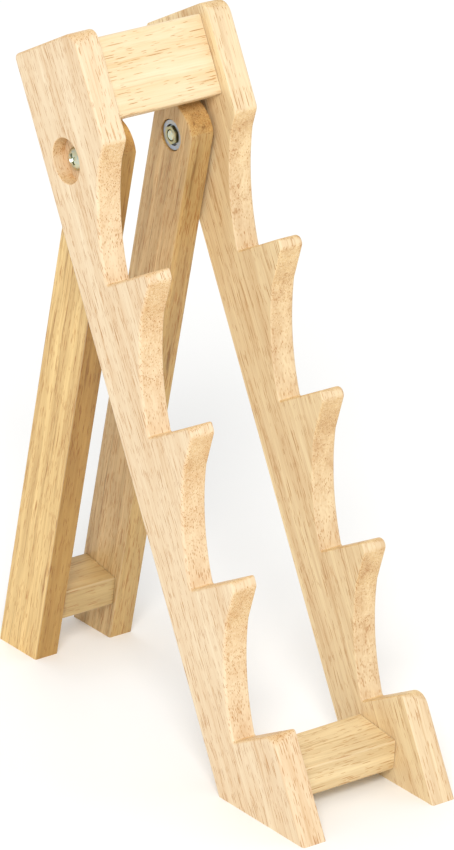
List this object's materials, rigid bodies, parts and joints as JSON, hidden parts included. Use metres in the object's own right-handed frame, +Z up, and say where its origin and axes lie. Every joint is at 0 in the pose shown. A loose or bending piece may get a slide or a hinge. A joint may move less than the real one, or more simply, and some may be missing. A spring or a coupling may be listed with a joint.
{
  "type": "instrument rack",
  "caption": "Folding wooden A-frame rack whose stepped side rails hold instruments in tiers; the rear legs swing in between the rails on a bolt at each side.",
  "frame": {"origin": "on the ground, in the middle of the open rack's footprint", "axes": "+Z up, -Y towards the front where the ledges are, +X across the rack to the right as seen from its front"},
  "size_m": [0.1, 0.3098, 0.3882],
  "materials": {
    "rail_wood": "satin clear lacquer over pale fine-pored hardwood",
    "board_wood": "satin clear lacquer over pale straight-grained hardwood",
    "stretcher_wood": "satin clear lacquer over straight-grained hardwood",
    "leg_wood": "satin clear lacquer over golden streaked hardwood",
    "dowel_wood": "bare fluted beech",
    "bolt_zinc": "zinc plate",
    "washer_zinc": "zinc plate",
    "nut_zinc": "yellowish zinc plate"
  },
  "bodies": {
    "front_frame": {"rail_left": "rail_wood", "rail_right": "rail_wood", "head_board": "board_wood", "front_stretcher": "stretcher_wood", "bolt_left": "bolt_zinc", "spacer_left": "washer_zinc", "nut_cup_left": "washer_zinc", "nut_left": "nut_zinc", "bolt_right": "bolt_zinc", "spacer_right": "washer_zinc", "nut_cup_right": "washer_zinc", "nut_right": "nut_zinc", "board_dowel_left_1": "dowel_wood", "board_dowel_left_2": "dowel_wood", "board_dowel_right_1": "dowel_wood", "board_dowel_right_2": "dowel_wood", "front_dowel_left_1": "dowel_wood", "front_dowel_left_2": "dowel_wood", "front_dowel_right_1": "dowel_wood", "front_dowel_right_2": "dowel_wood"},
    "rear_frame": {"leg_left": "leg_wood", "leg_right": "leg_wood", "rear_stretcher": "stretcher_wood", "rear_dowel_left_1": "dowel_wood", "rear_dowel_left_2": "dowel_wood", "rear_dowel_right_1": "dowel_wood", "rear_dowel_right_2": "dowel_wood"}
  },
  "joints": [
    {"name": "rear_frame_fold", "type": "hinge", "parent": "front_frame", "child": "rear_frame", "pos_m": [0, 0.05778, 0.31717], "axis": [-1, 0, 0], "range_deg": [0, 37.5]}
  ]
}
